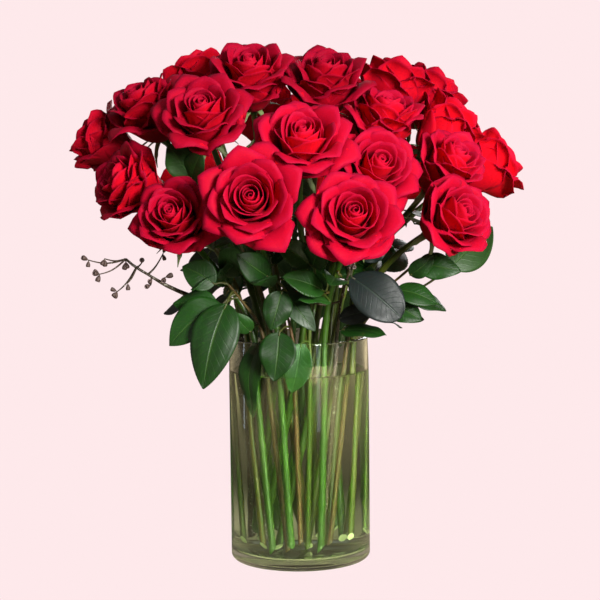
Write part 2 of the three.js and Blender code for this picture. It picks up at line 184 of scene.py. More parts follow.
def petal_material():
    """A matt red petal with faint veins and a darker back, and painted shade towards each petal's foot and in
    the bloom's heart; a low tone darkens it all over, and that tone holds painted shade for the blooms at the
    left and the top besides random variation.
    """
    material, tree, shader = new_material("rose_petal")
    rise = attribute(tree, "along")
    back = attribute(tree, "back")
    depth = attribute(tree, "inner")
    edge = attribute(tree, "edge")
    tone = attribute(tree, "tone")
    flat = flat_coordinates(tree, times(tree, attribute(tree, "across"), 14.0),
                            times(tree, rise, 1.6), times(tree, tone, 40.0))
    veins = noise(tree, flat, 2.2, 3.0, 0.6)
    cloud = noise(tree, object_position(tree), 90.0, 2.0)

    # both sides are brightest towards the rim and painted darker towards the foot, as painted shade deep in
    # the cup; the rim itself is edged darker
    front_with_painted_shade = blend_colors(tree, remap(tree, rise, 0.25, 0.95), (0.34, 0.0008, 0.006), (0.92, 0.0045, 0.014))
    back_with_painted_shade = blend_colors(tree, remap(tree, rise, 0.2, 1.0), (0.24, 0.001, 0.008), (0.40, 0.002, 0.018))
    color = blend_colors(tree, back, front_with_painted_shade, back_with_painted_shade)
    # the heart's petals are painted deeper and pinker: partly a pinker hue, partly painted shade in the
    # bloom's heart
    color = blend_colors(tree, times(tree, depth, 0.45), color, (0.56, 0.003, 0.022))
    rim = times(tree, remap(tree, edge, 0.88, 1.0), 0.6)
    color = blend_colors(tree, rim, color, (0.26, 0.004, 0.032))
    color = blend_colors(tree, remap(tree, veins, 0.35, 0.75, 0.0, 0.30), color, (0.34, 0.002, 0.016))
    color = blend_colors(tree, remap(tree, cloud, 0.4, 0.75, 0.0, 0.22), color, (0.48, 0.003, 0.030))
    # a low tone darkens the petals: random variation from bloom to bloom, plus painted shade on the blooms at
    # the left and the top
    color = blend_colors(tree, remap(tree, tone, 0.0, 1.0, 0.72, 0.0), color, (0.17, 0.001, 0.010))
    link(tree, color, shader.inputs["Base Color"])
    link(tree, remap(tree, cloud, 0.3, 0.7, 0.50, 0.64), shader.inputs["Roughness"])
    set_inputs(shader, {
        "Specular IOR Level": 0.08,
        "Specular Tint": (1.0, 0.35, 0.45, 1.0),
        "Sheen Weight": 0.03,
        "Sheen Roughness": 0.4,
        "Sheen Tint": (1.0, 0.12, 0.25, 1.0),
        "Subsurface Weight": 0.06,
        "Subsurface Radius": (1.0, 0.12, 0.12),
        "Subsurface Scale": 0.0015,
    })
    link(tree, bump(tree, veins, 0.0004, 0.55), shader.inputs["Normal"])
    return material


def leaf_material(name, top, underside, vein, roughness, vein_count, patches):
    """A leaf with a pale midrib and side veins, paler underneath."""
    material, tree, shader = new_material(name)
    across = attribute(tree, "across")
    along = attribute(tree, "along")
    back = attribute(tree, "back")
    tone = attribute(tree, "tone")
    side = calc(tree, "ABSOLUTE", across)
    wander = noise(tree, object_position(tree), 60.0, 2.0)
    slanted = calc(tree, "SUBTRACT", along, times(tree, side, 0.24))
    slanted = calc(tree, "ADD", slanted, times(tree, wander, 0.05))
    phase = calc(tree, "FRACT", times(tree, slanted, vein_count))
    distance = calc(tree, "ABSOLUTE", calc(tree, "SUBTRACT", phase, 0.5))
    side_veins = times(tree, remap(tree, distance, 0.40, 0.5), remap(tree, side, 1.0, 0.55))
    midrib = remap(tree, side, 0.075, 0.02)
    ribs = calc(tree, "MAXIMUM", midrib, times(tree, side_veins, 0.22))

    mottle = noise(tree, object_position(tree), 140.0, 4.0, 0.6)
    dark_top = tuple(0.62 * c for c in top)
    pale_top = tuple(2.0 * c for c in top)
    color = blend_colors(tree, remap(tree, mottle, 0.35, 0.7), top, dark_top)
    color = blend_colors(tree, times(tree, tone, 0.8), color, pale_top)
    color = blend_colors(tree, back, color, underside)
    color = blend_colors(tree, times(tree, ribs, 0.38), color, vein)
    blotches = noise(tree, object_position(tree), 46.0, 5.0, 0.7)
    color = blend_colors(tree, remap(tree, blotches, 0.66, 0.74, 0.0, patches), color, (0.12, 0.06, 0.02))
    link(tree, color, shader.inputs["Base Color"])
    link(tree, remap(tree, mottle, 0.3, 0.7, roughness, roughness + 0.14), shader.inputs["Roughness"])
    set_inputs(shader, {
        "Specular IOR Level": 0.32,
        "Subsurface Weight": 0.05,
        "Subsurface Radius": (0.4, 1.0, 0.2),
        "Subsurface Scale": 0.001,
    })
    relief = calc(tree, "ADD", times(tree, ribs, -1.0), times(tree, mottle, 0.5))
    link(tree, bump(tree, relief, 0.0006, 0.7), shader.inputs["Normal"])
    return material


def stem_material(name, green, other, speckle, speckle_amount):
    """A green stem with streaks of another colour, flecks and a pale cut end."""
    material, tree, shader = new_material(name)
    along = attribute(tree, "along")
    tone = attribute(tree, "tone")
    cut = attribute(tree, "edge")
    place = object_position(tree)
    flat = flat_coordinates(tree, times(tree, attribute(tree, "across"), 9.0), times(tree, along, 7.0), tone)
    streaks = noise(tree, flat, 1.4, 4.0, 0.6)
    patches = noise(tree, place, 28.0, 3.0)
    color = blend_colors(tree, remap(tree, patches, 0.35, 0.65), green, tuple(0.7 * c for c in green))
    color = blend_colors(tree, times(tree, tone, remap(tree, streaks, 0.25, 0.6)), color, other)
    flecks = remap(tree, noise(tree, place, 420.0, 3.0, 0.7), 0.60, 0.66, 0.0, speckle_amount)
    color = blend_colors(tree, flecks, color, speckle)
    color = blend_colors(tree, cut, color, (0.36, 0.42, 0.20))
    link(tree, color, shader.inputs["Base Color"])
    link(tree, remap(tree, streaks, 0.3, 0.7, 0.34, 0.52), shader.inputs["Roughness"])
    link(tree, bump(tree, streaks, 0.0006, 0.5), shader.inputs["Normal"])
    return material


def pod_material():
    material, tree, shader = new_material("eucalyptus_pod")
    along = attribute(tree, "along")
    grain = noise(tree, object_position(tree), 520.0, 4.0, 0.6)
    color = blend_colors(tree, remap(tree, grain, 0.3, 0.7), (0.030, 0.016, 0.012), (0.085, 0.050, 0.042))
    color = blend_colors(tree, remap(tree, along, 0.72, 0.86), color, (0.26, 0.17, 0.17))
    color = blend_colors(tree, remap(tree, along, 0.90, 0.97), color, (0.020, 0.012, 0.010))
    link(tree, color, shader.inputs["Base Color"])
    shader.inputs["Roughness"].default_value = 0.62
    link(tree, bump(tree, grain, 0.0003, 0.6), shader.inputs["Normal"])
    return material


def clear_material(name, ior, tint, shade):
    """A clear refracting body that lets the lamps through to what it holds."""
    material, tree, shader = new_material(name)
    set_inputs(shader, {"Base Color": (*tint, 1.0), "Transmission Weight": 1.0, "Roughness": 0.0, "IOR": ior})
    through = node(tree, "BsdfTransparent")
    set_inputs(through, {"Color": (*shade, 1.0)})
    surface = choose_by_ray(tree, "Is Shadow Ray", shader.outputs[0], through.outputs[0])
    link(tree, surface, tree.nodes["Material Output"].inputs["Surface"])
    return material


def floor_material():
    """Plain and pale to the eye; it lights the object as a table top, darker further off."""
    under_vase = (0.38, 0.32, 0.24)
    further_off = (0.07, 0.06, 0.04)
    at_the_sides = (0.50, 0.40, 0.24)
    material, tree, shader = new_material("pale_floor")
    place = node(tree, "VectorMath", operation="LENGTH")
    link(tree, object_position(tree), place.inputs[0])
    away = remap(tree, place.outputs["Value"], 0.12, 0.35)
    ground = blend_colors(tree, away, under_vase, further_off)
    split = node(tree, "SeparateXYZ")
    link(tree, object_position(tree), split.inputs[0])
    aside = remap(tree, calc(tree, "ABSOLUTE", split.outputs[0]), 0.30, 0.70)
    link(tree, blend_colors(tree, aside, ground, at_the_sides), shader.inputs["Base Color"])
    set_inputs(shader, {"Roughness": 0.9, "Specular IOR Level": 0.0})
    glow = node(tree, "Emission")
    set_inputs(glow, {"Color": (*BACKGROUND, 1.0)})
    surface = choose_by_ray(tree, "Is Camera Ray", shader.outputs[0], glow.outputs[0])
    link(tree, surface, tree.nodes["Material Output"].inputs["Surface"])
    return material


# --- stage and lights

def add_floor():
    size = 30.0
    mesh = bpy.data.meshes.new("floor")
    corners = [(-size, -size, 0), (size, -size, 0), (size, size, 0), (-size, size, 0)]
    mesh.from_pydata(corners, [], [(0, 1, 2, 3)])
    floor = add_object("floor", mesh)
    mesh.materials.append(floor_material())


def add_world():
    """Plain and pale to the eye; it lights the object as a room, brighter at its sides and above."""
    low_walls = (1.0, 0.76, 0.44)
    ceiling = (0.86, 0.92, 1.0)
    world = bpy.data.worlds.new("studio")
    bpy.context.scene.world = world
    world.use_nodes = True
    tree = world.node_tree
    tree.nodes.clear()
    seen = node(tree, "Background")
    set_inputs(seen, {"Color": (*BACKGROUND, 1.0), "Strength": 1.0})
    ambient = node(tree, "Background")
    direction = node(tree, "SeparateXYZ")
    link(tree, node(tree, "TexCoord").outputs["Generated"], direction.inputs[0])
    walls = blend_colors(tree, remap(tree, direction.outputs[2], 0.0, 0.75), low_walls, ceiling)
    link(tree, walls, ambient.inputs["Color"])
    aside = calc(tree, "MAXIMUM", calc(tree, "ABSOLUTE", direction.outputs[0]), direction.outputs[2])
    link(tree, remap(tree, aside, 0.25, 0.65, 0.045, 0.27), ambient.inputs["Strength"])
    surface = choose_by_ray(tree, "Is Camera Ray", ambient.outputs[0], seen.outputs[0])
    link(tree, surface, node(tree, "OutputWorld").inputs["Surface"])


def add_lamp(name, place, aim, width, height, power, color=(1.0, 1.0, 1.0)):
    data = bpy.data.lights.new(name, "AREA")
    data.shape = "RECTANGLE"
    data.size = width
    data.size_y = height
    data.energy = power
    data.color = color
    lamp = add_object(name, data)
    direction = Vector(aim) - Vector(place)
    lamp.matrix_world = Matrix.Translation(place) @ direction.to_track_quat("-Z", "Y").to_matrix().to_4x4()
    lamp.visible_camera = False
    lamp.visible_transmission = False  # or the back lamp shows through the base as a white spot


def add_lights():
    """Soft lamps round the bouquet, and two narrow panes that streak the glass."""
    bouquet = (0.0, 0.0, 0.30)
    vase = (0.0, 0.0, 0.13)
    warm = (1.0, 0.97, 0.94)
    cool = (0.86, 0.92, 1.0)
    sky = (0.72, 0.86, 1.0)
    add_lamp("key", (1.0, -1.85, 0.85), bouquet, 0.6, 0.6, 106.0, warm)
    add_lamp("top", (0.5, -0.4, 1.9), bouquet, 0.8, 0.8, 5.0)
    add_lamp("fill", (-1.5, -1.0, 0.7), bouquet, 0.5, 1.4, 2.0, cool)
    add_lamp("back", (0.5, 1.9, 0.8), bouquet, 1.2, 1.0, 20.0)
    add_lamp("right_pane", (0.36, -0.62, 0.13), vase, 0.075, 0.24, 0.11, sky)
    add_lamp("left_pane", (-0.70, 0.11, 0.13), vase, 0.030, 0.24, 0.09, sky)


def set_look():
    scene = bpy.context.scene
    scene.view_settings.view_transform = "Standard"
    scene.view_settings.look = "None"
    scene.cycles.max_bounces = 16
    scene.cycles.transmission_bounces = 14
    scene.cycles.transparent_max_bounces = 16
    scene.cycles.diffuse_bounces = 4
    scene.cycles.glossy_bounces = 5


# --- reading the CAD nodes

def unit(vector):
    return vector / norm(vector)


def welded(name):
    """A node's distinct points and its triangles, in metres."""
    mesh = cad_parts[name].data
    points = np.empty(3 * len(mesh.vertices))
    mesh.vertices.foreach_get("co", points)
    points = points.reshape(-1, 3)
    mesh.calc_loop_triangles()
    triangles = np.empty(3 * len(mesh.loop_triangles), dtype=int)
    mesh.loop_triangles.foreach_get("vertices", triangles)
    grid = np.round(points / (0.01 * MM)).astype(int)
    _, first, same = np.unique(grid, axis=0, return_index=True, return_inverse=True)
    return points[first], same.reshape(-1)[triangles.reshape(-1, 3)]


def flat_regions(points, triangles, smallest):
    """The flat faces larger than an area: (normal, area, their points)."""
    a, b, c = (points[triangles[:, i]] for i in range(3))
    crosses = np.cross(b - a, c - a)
    areas = norm(crosses, axis=1) / 2
    keep = areas > 1e-9
    triangles, crosses, areas, a = triangles[keep], crosses[keep], areas[keep], a[keep]
    normals = crosses / (2 * areas[:, None])
    offsets = np.einsum("ij,ij->i", normals, a)
    free = np.ones(len(areas), dtype=bool)
    regions = []
    for i in np.argsort(-areas):
        if not free[i] or areas[i] < smallest / 12:
            continue
        level = abs(points[triangles[:, 0]] @ normals[i] - offsets[i]) < 0.08 * MM
        mates = free & level & (normals @ normals[i] > 0.9997)
        free &= ~mates
        if areas[mates].sum() > smallest:
            regions.append((normals[i], areas[mates].sum(), points[np.unique(triangles[mates])]))
    return sorted(regions, key=lambda region: -region[1])


def bloom_place(name):
    """Where a bloom's cup stands: its foot, its axis, its height and its radius."""
    points, triangles = welded(name)
    axis, _, rim = flat_regions(points, triangles, 200 * MM ** 2)[0]
    top = rim.mean(axis=0)
    heights = points @ axis
    height = heights.max() - heights.min()
    foot = top - axis * height
    radius = norm(np.cross(points - foot, axis), axis=1).max()
    return foot, axis, height, radius


def sections(points, triangles, height):
    """Centre and mean radius of each closed outline that a level cut makes."""
    above = points[triangles][:, :, 2] > height
    cut = triangles[above.any(axis=1) & ~above.all(axis=1)]
    parent = {}

    def root(edge):
        while parent[edge] != edge:
            edge = parent[edge]
        return edge

    spots = {}
    for triangle in cut:
        pair = []
        for i, j in ((0, 1), (1, 2), (2, 0)):
            low, high = sorted((triangle[i], triangle[j]))
            start, end = points[low], points[high]
            if (start[2] > height) != (end[2] > height):
                edge = (low, high)
                share = (height - start[2]) / (end[2] - start[2])
                spots[edge] = start + share * (end - start)
                parent.setdefault(edge, edge)
                pair.append(edge)
        parent[root(pair[0])] = root(pair[1])
    groups = {}
    for edge in spots:
        groups.setdefault(root(edge), []).append(spots[edge])
    found = []
    for spot_list in groups.values():
        outline = np.array(spot_list)
        centre = outline.mean(axis=0)
        found.append((centre, norm(outline - centre, axis=1).mean()))
    return found


def centreline(name):
    """The middle of a stem from its foot to its end, found by level cuts, and its radius."""
    step = 5 * MM
    points, triangles = welded(name)
    low, high = points[:, 2].min(), points[:, 2].max()
    line = []
    for height in np.arange(low + 3 * MM, high - 1 * MM, step):
        outlines = sections(points, triangles, height)
        if not line:
            centre, radius = min(outlines, key=lambda outline: outline[1])
            line.append(centre)
            continue
        guess = line[-1] + (line[-1] - line[-2] if len(line) > 1 else np.zeros(3))
        near = [o for o in outlines if norm(o[0] - guess) < 9 * MM and o[1] < 2.2 * radius]
        if near:
            line.append(min(near, key=lambda outline: norm(outline[0] - guess))[0])
    return np.array(line), radius


def leaf_places(name, stem):
    """Each flat blade of a node: its base, tip, width, length and upper side."""
    narrowest = 9 * MM
    longest = 85 * MM
    slimmest = 5
    points, triangles = welded(name)
    found = []
    for normal, _, rim in flat_regions(points, triangles, 120 * MM ** 2):
        middle = rim.mean(axis=0)
        spread = rim - middle
        _, _, axes = np.linalg.svd(spread, full_matrices=False)
        along, across = axes[0], axes[1]
        length = np.ptp(spread @ along)
        width = np.ptp(spread @ across)
        outward = unit(np.array([middle[0], middle[1], 0.0])) + np.array([0, 0, 0.7])
        is_leaf = width > narrowest and length < longest and length < slimmest * width
        if not is_leaf or normal @ outward < 0:
            continue
        ends = [middle + along * (spread @ along).min(), middle + along * (spread @ along).max()]
        gaps = [norm(stem - end, axis=1).min() for end in ends]
        base, tip = (ends[0], ends[1]) if gaps[0] < gaps[1] else (ends[1], ends[0])
        found.append({"base": base, "tip": tip, "width": width, "normal": normal, "length": length})
    return found


POD_RADIUS = 3.6 * MM


def pod_places(name):
    """The centres of the eight-sided pods of a sprig, known by their corners."""
    points, _ = welded(name)
    arms = POD_RADIUS * np.array([[1, 0, 0], [-1, 0, 0], [0, 1, 0], [0, -1, 0], [0, 0, 1], [0, 0, -1]])
    centres = []
    for point in points:
        for arm in arms:
            centre = point - arm
            if any(norm(centre - c) < 1 * MM for c in centres):
                continue
            gaps = [norm(points - (centre + other), axis=1).min() for other in arms]
            if sum(gap < 0.06 * MM for gap in gaps) >= 4:
                centres.append(centre)
    return centres


# --- mesh making

def cell_corners(rows, columns):
    """The row and the column of each of the four corners, over all cells of a grid."""
    r, c = np.meshgrid(np.arange(rows), np.arange(columns), indexing="ij")
    r, c = r.reshape(-1), c.reshape(-1)
    return [(r, c), (r, c + 1), (r + 1, c + 1), (r + 1, c)]


def corner_spots(corners):
    """Places on an island as (faces, corners, 2), from an (x, y) for each corner."""
    return np.stack([np.stack(np.broadcast_arrays(x, y), axis=1) for x, y in corners], axis=1)


class Builder:
    """Collects patches of faces and makes one closed, smooth mesh object of them."""

    VALUES = ("along", "across", "edge", "back", "inner", "tone")

    def __init__(self):
        self.points = []
        self.count = 0
        self.polygons = []
        self.flat = []
        self.islands = 0
        self.values = {name: [] for name in self.VALUES}

    def add_points(self, points, **values):
        points = np.asarray(points).reshape(-1, 3)
        start = self.count
        self.points.append(points)
        self.count += len(points)
        for name in self.VALUES:
            given = np.asarray(values.get(name, 0.0), dtype=float).reshape(-1)
            self.values[name].append(np.broadcast_to(given, (len(points),)))
        return start

    def add_faces(self, corners, flat):
        """corners: (n, k) point numbers. flat: (n, k, 2) places on the island."""
        self.polygons.append(np.asarray(corners))
        self.flat.append((self.islands, np.asarray(flat)))

    def next_island(self):
        self.islands += 1

    def sheet(self, middle, thickness, **values):
        """A thin closed sheet round a grid of points; its front faces along the grid's normal."""
        rows, columns, _ = middle.shape
        down = np.gradient(middle, axis=0)
        over = np.gradient(middle, axis=1)
        normals = np.cross(over, down)
        normals /= np.maximum(norm(normals, axis=2, keepdims=True), 1e-12)
        half = 0.5 * thickness * normals
        given = {}
        for name, value in values.items():
            given[name] = np.broadcast_to(value, (rows, columns)).reshape(-1)
        front = self.add_points(middle + half, back=0.0, **given)
        rear = self.add_points(middle - half, back=1.0, **given)
        corners = cell_corners(rows - 1, columns - 1)
        quads = np.stack([r * columns + c for r, c in corners], axis=1)
        spots = corner_spots([(c / (columns - 1), r / (rows - 1)) for r, c in corners])
        self.add_faces(quads + front, spots)
        self.next_island()
        self.add_faces(quads[:, ::-1] + rear, spots[:, ::-1])
        border = [(0, c) for c in range(columns - 1)]
        border += [(r, columns - 1) for r in range(rows - 1)]
        border += [(rows - 1, c) for c in range(columns - 1, 0, -1)]
        border += [(r, 0) for r in range(rows - 1, 0, -1)]
        here = np.array(border)
        a = here[:, 0] * columns + here[:, 1]
        b = np.roll(a, -1)
        spot_a = here[:, ::-1] / np.array([columns - 1, rows - 1])
        spot_b = np.roll(spot_a, -1, axis=0)
        self.add_faces(np.stack([b + front, a + front, a + rear, b + rear], axis=1),
                       np.stack([spot_b, spot_a, spot_a, spot_b], axis=1))
        self.next_island()

    def tube(self, line, radii, sides, cut=None, **values):
        """A closed tube along a line, with a radius at each of its points and maybe a slanted foot."""
        line = np.asarray(line)
        rings = len(line)
        tangents = np.gradient(line, axis=0)
        tangents /= norm(tangents, axis=1, keepdims=True)
        side = unit(np.cross(tangents[0], [0.37, 0.21, 0.9]))
        angles = 2 * np.pi * np.arange(sides) / sides
        points = []
        for k in range(rings):
            side = unit(side - tangents[k] * (side @ tangents[k]))
            other = np.cross(tangents[k], side)
            ring = np.cos(angles)[:, None] * side + np.sin(angles)[:, None] * other
            points.append(line[k] + radii[k] * ring)
        points = np.array(points)
        if cut is not None:
            slope = (points[0] - line[0]) @ cut
            points[0] += tangents[0] * slope[:, None]
        along = np.repeat(np.arange(rings) / (rings - 1), sides)
        across = np.tile(np.arange(sides) / sides, rings)
        start = self.add_points(points, **{"along": along, "across": across, **values})
        corners = cell_corners(rings - 1, sides)
        quads = np.stack([r * sides + c % sides for r, c in corners], axis=1)
        spots = corner_spots([(c / sides, r / (rings - 1)) for r, c in corners])
        self.add_faces(quads + start, spots)
        first = np.arange(sides)[::-1]
        last = (rings - 1) * sides + np.arange(sides)
        if cut is None:
            self.add_faces([first + start], np.stack([first / sides, 0 * first], axis=1)[None])
        else:
            lid = self.add_points(points[0], edge=1.0, along=0.0, tone=0.0)
            circle = np.stack([0.5 + 0.5 * np.cos(angles), 0.5 + 0.5 * np.sin(angles)], axis=1)
            a = np.arange(sides)
            b = (a + 1) % sides
            wall = np.stack([a + lid, b + lid, b + start, a + start], axis=1)
            self.add_faces(wall, np.zeros((sides, 4, 2)))
            self.next_island()
            self.add_faces([first + lid], circle[first][None])
        self.add_faces([last + start], np.stack([(last % sides) / sides, 0 * last + 1.0], axis=1)[None])
        self.next_island()

    def lathe(self, foot, axis, profile, sides, **values):
        """A body of revolution about an axis; the profile runs from axis to axis."""
        axis = unit(np.asarray(axis))
        side = unit(np.cross(axis, [0.31, 0.17, 0.93] if abs(axis[2]) < 0.9 else [1.0, 0.2, 0.0]))
        other = np.cross(axis, side)
        profile = np.asarray(profile)
        inner = profile[1:-1]
        angles = 2 * np.pi * np.arange(sides) / sides
        ring = np.cos(angles)[:, None] * side + np.sin(angles)[:, None] * other
        points = foot + inner[:, 0][:, None, None] * ring + inner[:, 1][:, None, None] * axis
        rows = len(inner)
        along = np.repeat(np.arange(rows) / (rows - 1), sides)
        across = np.tile(np.arange(sides) / sides, rows)
        start = self.add_points(points, **{"along": along, "across": across, **values})
        poles = self.add_points([foot + axis * profile[0, 1], foot + axis * profile[-1, 1]],
                                **{**values, "along": np.array([0.0, 1.0])})
        corners = cell_corners(rows - 1, sides)
        quads = np.stack([r * sides + c % sides for r, c in corners], axis=1)
        lid = 0.1  # the share of the island's height that each end's fan takes
        rise = (1.0 - 2 * lid) / (rows - 1)
        self.add_faces(quads + start, corner_spots([(c / sides, lid + rise * r) for r, c in corners]))
        j = np.arange(sides)
        k = (j + 1) % sides
        left, right, middle = j / sides, (j + 1) / sides, (j + 0.5) / sides
        low = np.stack([k + start, j + start, np.full(sides, poles)], axis=1)
        self.add_faces(low, corner_spots([(right, lid), (left, lid), (middle, 0.0)]))
        base = (rows - 1) * sides + start
        high = np.stack([j + base, k + base, np.full(sides, poles + 1)], axis=1)
        self.add_faces(high, corner_spots([(left, 1.0 - lid), (right, 1.0 - lid), (middle, 1.0)]))
        self.next_island()

    def make(self, name, material):
        """The mesh object, with its values as attributes and each island in its own UV square."""
        mesh = bpy.data.meshes.new(name)
        points = np.concatenate(self.points)
        mesh.vertices.add(len(points))
        mesh.vertices.foreach_set("co", points.reshape(-1))
        sizes = np.concatenate([np.full(len(p), p.shape[1]) for p in self.polygons])
        corners = np.concatenate([p.reshape(-1) for p in self.polygons])
        mesh.loops.add(len(corners))
        mesh.loops.foreach_set("vertex_index", corners)
        mesh.polygons.add(len(sizes))
        mesh.polygons.foreach_set("loop_start", np.concatenate([[0], np.cumsum(sizes)[:-1]]))
        mesh.polygons.foreach_set("use_smooth", np.ones(len(sizes), dtype=bool))
        for value_name, given in self.values.items():
            layer = mesh.attributes.new(value_name, "FLOAT", "POINT")
            layer.data.foreach_set("value", np.concatenate(given))
        squares = math.ceil(math.sqrt(self.islands + 1))
        flat = []
        for island, spots in self.flat:
            cell = np.array([island % squares, island // squares])
            flat.append(((cell + 0.04 + 0.92 * spots) / squares).reshape(-1))
        mesh.uv_layers.new(name="OFBake").data.foreach_set("uv", np.concatenate(flat))
        mesh.update(calc_edges=True)
        mesh.validate()
        mesh.materials.append(material)
        return add_object(name, mesh)


def place_piece(piece, slot, *nodes):
    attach(piece, "root")
    if nodes:
        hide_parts(*nodes)


def smoothstep(low, high, value):
    share = np.clip((value - low) / (high - low), 0.0, 1.0)
    return share * share * (3 - 2 * share)


def running_total(steps):
    return np.concatenate([[0.0], np.cumsum(steps)])


def resample(line, step):
    """The line rounded off, with points at an even spacing."""
    line = np.asarray(line)
    for _ in range(2):
        line[1:-1] = 0.25 * line[:-2] + 0.5 * line[1:-1] + 0.25 * line[2:]
    lengths = running_total(norm(np.diff(line, axis=0), axis=1))
    count = max(4, int(lengths[-1] / step) + 1)
    even = np.linspace(0.0, lengths[-1], count)
    return np.stack([np.interp(even, lengths, line[:, i]) for i in range(3)], axis=1)


def curve_between(start, end, lift, steps=7):
    """A short arc from start to end that bows out by lift."""
    share = np.linspace(0.0, 1.0, steps)[:, None]
    return start + share * (end - start) + np.sin(np.pi * share) * lift


# --- roses

# A bloom's petals by age, from the heart (first column) to the outermost (last
# column): how far the midline leans out from the bloom's axis, in degrees, at
# four heights, and the petal's length, its width and how far its edges roll back.
AGES = np.array([0.0, 0.25, 0.5, 0.75, 1.0])
LEAN_FOOT = np.array([12.0, 42.0, 62.0, 73.0, 79.0])
LEAN_BELLY = np.array([3.0, 6.0, 13.0, 20.0, 25.0])
LEAN_SHOULDER = np.array([-4.0, -2.0, 3.0, 12.0, 28.0])
LEAN_TIP = np.array([-14.0, 2.0, 30.0, 76.0, 112.0])
PETAL_LENGTH = np.array([52.0, 56.0, 58.5, 60.5, 60.0]) * MM
PETAL_WIDTH = np.array([34.0, 54.0, 65.0, 74.0, 76.0]) * MM
PETAL_ROLL = np.array([0.0, 0.8, 5.5, 11.0, 14.0]) * MM
NOMINAL_RADIUS = 43.0 * MM
NOMINAL_DEPTH = 48.0 * MM
CUP_SHARE = 0.44  # the CAD cup's radius as a share of the width over the petals
PETAL_THICKNESS = 0.42 * MM
LEAF_THICKNESS = 0.38 * MM
SEPAL_THICKNESS = 0.5 * MM

PETAL_ROWS = 15
PETAL_COLUMNS = 13
PETAL_COUNT = 30
GOLDEN_ANGLE = math.radians(137.508)


def by_age(table, age):
    return np.interp(age, AGES, table)


def spin_about_z(turn):
    c, s = math.cos(turn), math.sin(turn)
    return np.array([[c, -s, 0.0], [s, c, 0.0], [0.0, 0.0, 1.0]])


def petal_grid(age, turn, scale, deep):
    """The middle surface of one petal, about the bloom's axis (third coordinate)."""
    rise = np.linspace(0.0, 1.0, PETAL_ROWS)
    lateral = np.linspace(-1.0, 1.0, PETAL_COLUMNS)
    length = by_age(PETAL_LENGTH, age) * uniform(0.96, 1.04)
    width = by_age(PETAL_WIDTH, age) * scale * uniform(0.94, 1.06)
    wobble = random.normal(0.0, 1.0, 4) * (1.0 + 4.0 * age)
    flop = uniform(-8.0, 18.0) * smoothstep(0.72, 0.95, age)
    lean = np.interp(rise, [0.0, 0.36, 0.74, 1.0], [
        by_age(LEAN_FOOT, age) + 0.3 * wobble[0],
        by_age(LEAN_BELLY, age) + 0.4 * wobble[1] + 0.35 * flop,
        by_age(LEAN_SHOULDER, age) + 0.8 * wobble[2] + 0.9 * flop,
        by_age(LEAN_TIP, age) + 2.0 * wobble[3] + 0.4 * flop,
    ])
    lean = np.radians(lean)
    step = length / (PETAL_ROWS - 1)
    middle_lean = 0.5 * (lean[1:] + lean[:-1])
    out = running_total(np.sin(middle_lean)) * step * scale + (1.0 + 3.0 * age) * MM
    up = running_total(np.cos(middle_lean)) * step * deep + 1.5 * MM

    # the outline: narrow at the foot, broad above the middle, slightly pointed
    half = 0.5 * width * (0.30 + 0.70 * np.sin(0.5 * np.pi * np.minimum(rise / 0.60, 1.0)) ** 1.2)
    drop = 0.26 + 0.06 * age
    point = uniform(0.04, 0.20) * age
    side = np.abs(lateral)
    shorten = 1.0 - drop * side ** 2.8 + point * (1.0 - side) ** 2
    grid_rise = rise[:, None] * (1.0 + (shorten[None, :] - 1.0) * rise[:, None] ** 1.5)
    radial = np.interp(grid_rise, rise, out)
    height = np.interp(grid_rise, rise, up)
    over = grid_rise - 1.0
    radial += np.where(over > 0, over * length * scale * np.sin(lean[-1]), 0.0)
    height += np.where(over > 0, over * length * deep * np.cos(lean[-1]), 0.0)
    facing = np.interp(grid_rise, rise, lean)

    # the petal wraps round the axis, less closely towards an old petal's edge
    narrowing = 1.0 - 0.14 * smoothstep(0.75, 1.0, rise)
    reach = lateral[None, :] * (half * narrowing)[:, None]
    wrap = np.maximum(radial, 2.2 * MM) * (1.0 + 0.55 * age * smoothstep(0.3, 1.0, grid_rise))
    angle = reach / wrap
    angle = np.clip(angle, -2.9, 2.9)
    spiral = (1.1 - 0.5 * age) * MM * lateral[None, :]
    x = radial - wrap * (1.0 - np.cos(angle)) + spiral
    y = wrap * np.sin(angle)
    tight = radial < 1.6 * np.abs(reach)
    coil = radial + spiral + 0.5 * MM * np.abs(angle)
    x = np.where(tight, coil * np.cos(angle), x)
    y = np.where(tight, coil * np.sin(angle), y)
    grid = np.stack([x, y, height], axis=2)

    # the upper side edges roll back, and the rim ripples
    roll = by_age(PETAL_ROLL, age) * scale * (1.0 + uniform(-0.45, 0.45) * lateral[None, :])
    rolled = roll * smoothstep(0.3, 0.95, side)[None, :] * smoothstep(0.35, 1.0, grid_rise)
    level = np.cos(facing)
    outward = np.stack([level * np.cos(angle), level * np.sin(angle), -np.sin(facing)], axis=2)
    ripple = uniform(0.3, 1.0) * (0.25 + 1.3 * age) * MM * np.sin(
        lateral[None, :] * uniform(3.0, 6.0) + uniform(0, 6.3) + 2.0 * grid_rise)
    rolled = rolled + ripple * smoothstep(0.55, 1.0, grid_rise)
    grid = grid + outward * rolled[:, :, None]

    edge = np.maximum(side[None, :] * smoothstep(0.2, 0.6, grid_rise), grid_rise / shorten[None, :])
    return grid @ spin_about_z(turn).T, rise[:, None], lateral[None, :], edge


def frame_about(axis):
    """A turn that takes +Z to the axis, as a matrix of three columns."""
    side = unit(np.cross(axis, [0.12, 0.93, 0.35]))
    return np.stack([side, np.cross(axis, side), axis], axis=1)


